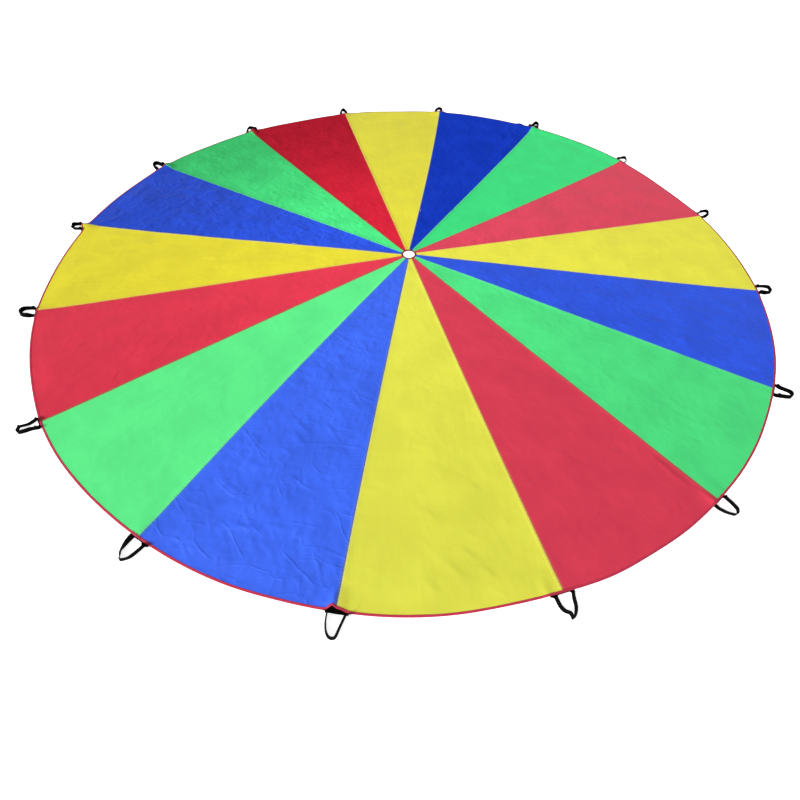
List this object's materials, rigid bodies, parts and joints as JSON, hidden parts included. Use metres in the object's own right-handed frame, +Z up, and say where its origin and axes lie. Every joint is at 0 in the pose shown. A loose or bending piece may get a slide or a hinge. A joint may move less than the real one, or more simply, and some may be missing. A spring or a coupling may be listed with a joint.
{
  "type": "play parachute",
  "caption": "Round play parachute of brightly coloured gores, laid flat, with a bound rim, a small bound crown hole and swinging webbing hand loops at the seams.",
  "frame": {"origin": "on the floor, under the centre of the crown hole", "axes": "+Z up; +X along the seam between the blue gore 16 and the yellow gore 1; gores, seams and handles count anticlockwise seen from above"},
  "size_m": [3.824, 3.824, 0.02],
  "materials": {
    "cloth_yellow": "satin",
    "cloth_red": "satin",
    "cloth_green": "satin",
    "cloth_blue": "satin",
    "binding_tape": "matt",
    "webbing": "matt"
  },
  "bodies": {
    "canopy": {"gore_01_yellow": "cloth_yellow", "gore_02_red": "cloth_red", "gore_03_green": "cloth_green", "gore_04_blue": "cloth_blue", "gore_05_yellow": "cloth_yellow", "gore_06_red": "cloth_red", "gore_07_green": "cloth_green", "gore_08_blue": "cloth_blue", "gore_09_yellow": "cloth_yellow", "gore_10_red": "cloth_red", "gore_11_green": "cloth_green", "gore_12_blue": "cloth_blue", "gore_13_yellow": "cloth_yellow", "gore_14_red": "cloth_red", "gore_15_green": "cloth_green", "gore_16_blue": "cloth_blue", "rim_binding": "binding_tape", "crown_binding": "binding_tape", "handle_01_base": "webbing", "handle_02_base": "webbing", "handle_03_base": "webbing", "handle_04_base": "webbing", "handle_05_base": "webbing", "handle_06_base": "webbing", "handle_07_base": "webbing", "handle_08_base": "webbing", "handle_09_base": "webbing", "handle_10_base": "webbing", "handle_11_base": "webbing", "handle_12_base": "webbing", "handle_13_base": "webbing", "handle_14_base": "webbing", "handle_15_base": "webbing", "handle_16_base": "webbing"},
    "handle_01": {"handle_01_loop": "webbing"},
    "handle_02": {"handle_02_loop": "webbing"},
    "handle_03": {"handle_03_loop": "webbing"},
    "handle_04": {"handle_04_loop": "webbing"},
    "handle_05": {"handle_05_loop": "webbing"},
    "handle_06": {"handle_06_loop": "webbing"},
    "handle_07": {"handle_07_loop": "webbing"},
    "handle_08": {"handle_08_loop": "webbing"},
    "handle_09": {"handle_09_loop": "webbing"},
    "handle_10": {"handle_10_loop": "webbing"},
    "handle_11": {"handle_11_loop": "webbing"},
    "handle_12": {"handle_12_loop": "webbing"},
    "handle_13": {"handle_13_loop": "webbing"},
    "handle_14": {"handle_14_loop": "webbing"},
    "handle_15": {"handle_15_loop": "webbing"},
    "handle_16": {"handle_16_loop": "webbing"}
  },
  "joints": [
    {"name": "handle_01_swing", "type": "hinge", "parent": "canopy", "child": "handle_01", "pos_m": [1.83805, 0, 0.00075], "axis": [0, -1, 0], "range_deg": [-90, 120]},
    {"name": "handle_02_swing", "type": "hinge", "parent": "canopy", "child": "handle_02", "pos_m": [1.69814, 0.70339, 0.00075], "axis": [0.3827, -0.9239, 0], "range_deg": [-90, 120]},
    {"name": "handle_03_swing", "type": "hinge", "parent": "canopy", "child": "handle_03", "pos_m": [1.2997, 1.2997, 0.00075], "axis": [0.7071, -0.7071, 0], "range_deg": [-90, 120]},
    {"name": "handle_04_swing", "type": "hinge", "parent": "canopy", "child": "handle_04", "pos_m": [0.70339, 1.69814, 0.00075], "axis": [0.9239, -0.3827, 0], "range_deg": [-90, 120]},
    {"name": "handle_05_swing", "type": "hinge", "parent": "canopy", "child": "handle_05", "pos_m": [0, 1.83805, 0.00075], "axis": [1, 0, 0], "range_deg": [-90, 120]},
    {"name": "handle_06_swing", "type": "hinge", "parent": "canopy", "child": "handle_06", "pos_m": [-0.70339, 1.69814, 0.00075], "axis": [0.9239, 0.3827, 0], "range_deg": [-90, 120]},
    {"name": "handle_07_swing", "type": "hinge", "parent": "canopy", "child": "handle_07", "pos_m": [-1.2997, 1.2997, 0.00075], "axis": [0.7071, 0.7071, 0], "range_deg": [-90, 120]},
    {"name": "handle_08_swing", "type": "hinge", "parent": "canopy", "child": "handle_08", "pos_m": [-1.69814, 0.70339, 0.00075], "axis": [0.3827, 0.9239, 0], "range_deg": [-90, 120]},
    {"name": "handle_09_swing", "type": "hinge", "parent": "canopy", "child": "handle_09", "pos_m": [-1.83805, 0, 0.00075], "axis": [0, 1, 0], "range_deg": [-90, 120]},
    {"name": "handle_10_swing", "type": "hinge", "parent": "canopy", "child": "handle_10", "pos_m": [-1.69814, -0.70339, 0.00075], "axis": [-0.3827, 0.9239, 0], "range_deg": [-90, 120]},
    {"name": "handle_11_swing", "type": "hinge", "parent": "canopy", "child": "handle_11", "pos_m": [-1.2997, -1.2997, 0.00075], "axis": [-0.7071, 0.7071, 0], "range_deg": [-90, 120]},
    {"name": "handle_12_swing", "type": "hinge", "parent": "canopy", "child": "handle_12", "pos_m": [-0.70339, -1.69814, 0.00075], "axis": [-0.9239, 0.3827, 0], "range_deg": [-90, 120]},
    {"name": "handle_13_swing", "type": "hinge", "parent": "canopy", "child": "handle_13", "pos_m": [0, -1.83805, 0.00075], "axis": [-1, 0, 0], "range_deg": [-90, 120]},
    {"name": "handle_14_swing", "type": "hinge", "parent": "canopy", "child": "handle_14", "pos_m": [0.70339, -1.69814, 0.00075], "axis": [-0.9239, -0.3827, 0], "range_deg": [-90, 120]},
    {"name": "handle_15_swing", "type": "hinge", "parent": "canopy", "child": "handle_15", "pos_m": [1.2997, -1.2997, 0.00075], "axis": [-0.7071, -0.7071, 0], "range_deg": [-90, 120]},
    {"name": "handle_16_swing", "type": "hinge", "parent": "canopy", "child": "handle_16", "pos_m": [1.69814, -0.70339, 0.00075], "axis": [-0.3827, -0.9239, 0], "range_deg": [-90, 120]}
  ]
}
